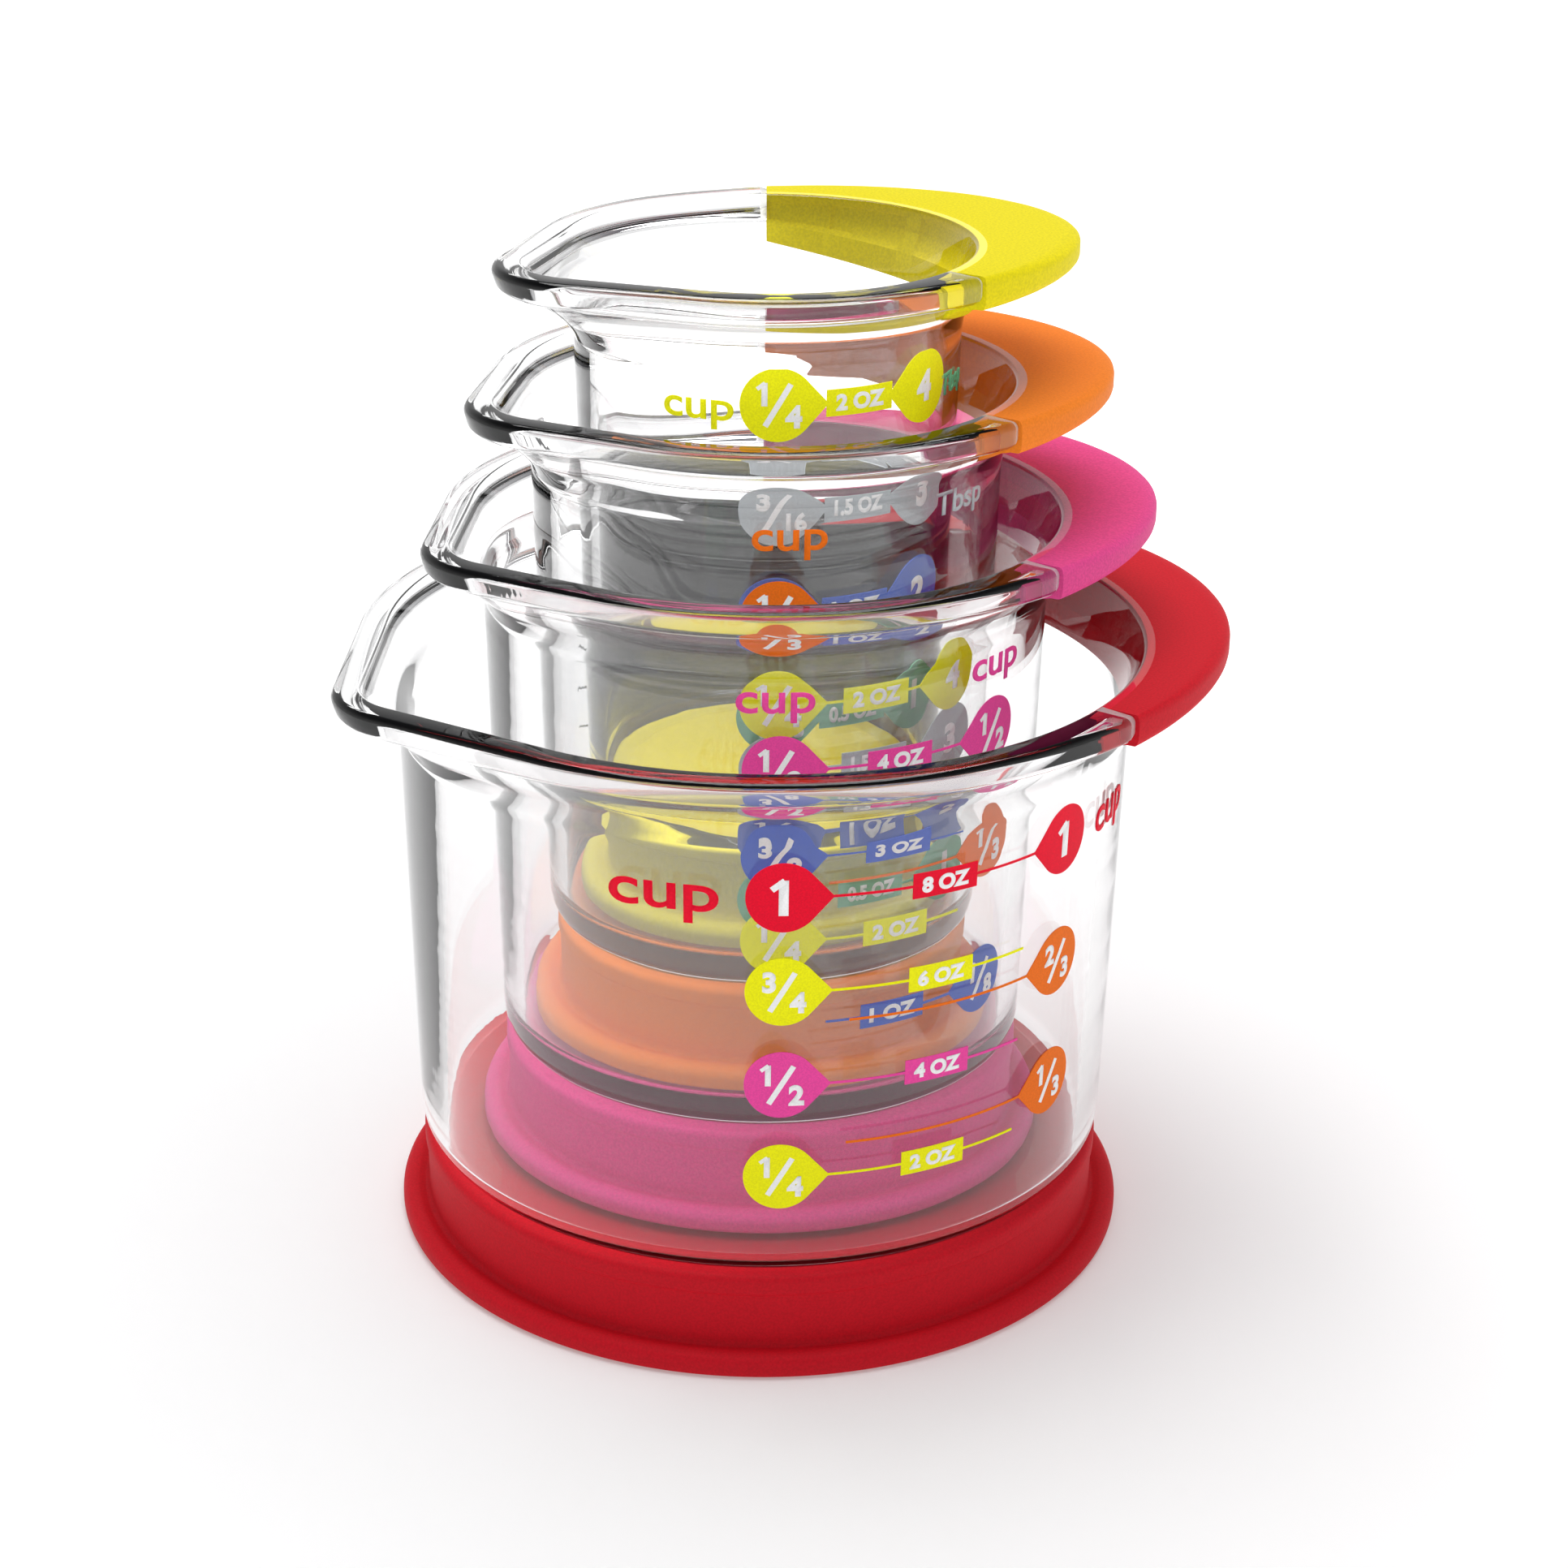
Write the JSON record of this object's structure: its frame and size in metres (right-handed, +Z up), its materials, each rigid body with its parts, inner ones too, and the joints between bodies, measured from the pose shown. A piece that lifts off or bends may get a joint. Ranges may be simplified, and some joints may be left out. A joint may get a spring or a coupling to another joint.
{
  "type": "measuring cup set",
  "caption": "Nesting clear measuring cups with pouring spouts, soft coloured grips and feet, and printed volume scales.",
  "frame": {"origin": "centre of the underside of the largest cup's foot", "axes": "+Z up along the common axis of the nested cups, +X towards the grips, spouts on -X"},
  "size_m": [0.1106, 0.0952, 0.1203],
  "materials": {
    "clear_plastic": "clear rigid moulded plastic, polished",
    "soft_red": "soft-touch elastomer, fine satin grain",
    "soft_pink": "soft-touch elastomer, fine satin grain",
    "soft_orange": "soft-touch elastomer, fine satin grain",
    "soft_yellow": "soft-touch elastomer, fine satin grain",
    "ink_red": "opaque printed ink",
    "ink_yellow": "opaque printed ink",
    "ink_pink": "opaque printed ink",
    "ink_orange": "opaque printed ink",
    "ink_blue": "opaque printed ink",
    "ink_grey": "opaque printed ink",
    "ink_green": "opaque printed ink"
  },
  "bodies": {
    "one_cup": {"one_cup_beaker": "clear_plastic", "one_cup_grip": "soft_red", "one_cup_foot": "soft_red", "one_cup_print_red": "ink_red", "one_cup_print_yellow": "ink_yellow", "one_cup_print_pink": "ink_pink", "one_cup_print_orange": "ink_orange"},
    "half_cup": {"half_cup_beaker": "clear_plastic", "half_cup_grip": "soft_pink", "half_cup_foot": "soft_pink", "half_cup_print_pink": "ink_pink", "half_cup_print_blue": "ink_blue", "half_cup_print_yellow": "ink_yellow", "half_cup_print_orange": "ink_orange"},
    "third_cup": {"third_cup_beaker": "clear_plastic", "third_cup_grip": "soft_orange", "third_cup_foot": "soft_orange", "third_cup_print_orange": "ink_orange", "third_cup_print_yellow": "ink_yellow", "third_cup_print_grey": "ink_grey", "third_cup_print_blue": "ink_blue", "third_cup_print_green": "ink_green"},
    "quarter_cup": {"quarter_cup_beaker": "clear_plastic", "quarter_cup_grip": "soft_yellow", "quarter_cup_foot": "soft_yellow", "quarter_cup_print_yellow": "ink_yellow", "quarter_cup_print_grey": "ink_grey", "quarter_cup_print_blue": "ink_blue", "quarter_cup_print_green": "ink_green"}
  },
  "joints": [
    {"name": "half_cup_lift", "type": "slide", "parent": "one_cup", "child": "half_cup", "axis": [0, 0, 1], "range_m": [0, 0.065]},
    {"name": "third_cup_lift", "type": "slide", "parent": "half_cup", "child": "third_cup", "axis": [0, 0, 1], "range_m": [0, 0.065]},
    {"name": "quarter_cup_lift", "type": "slide", "parent": "third_cup", "child": "quarter_cup", "axis": [0, 0, 1], "range_m": [0, 0.065]}
  ]
}
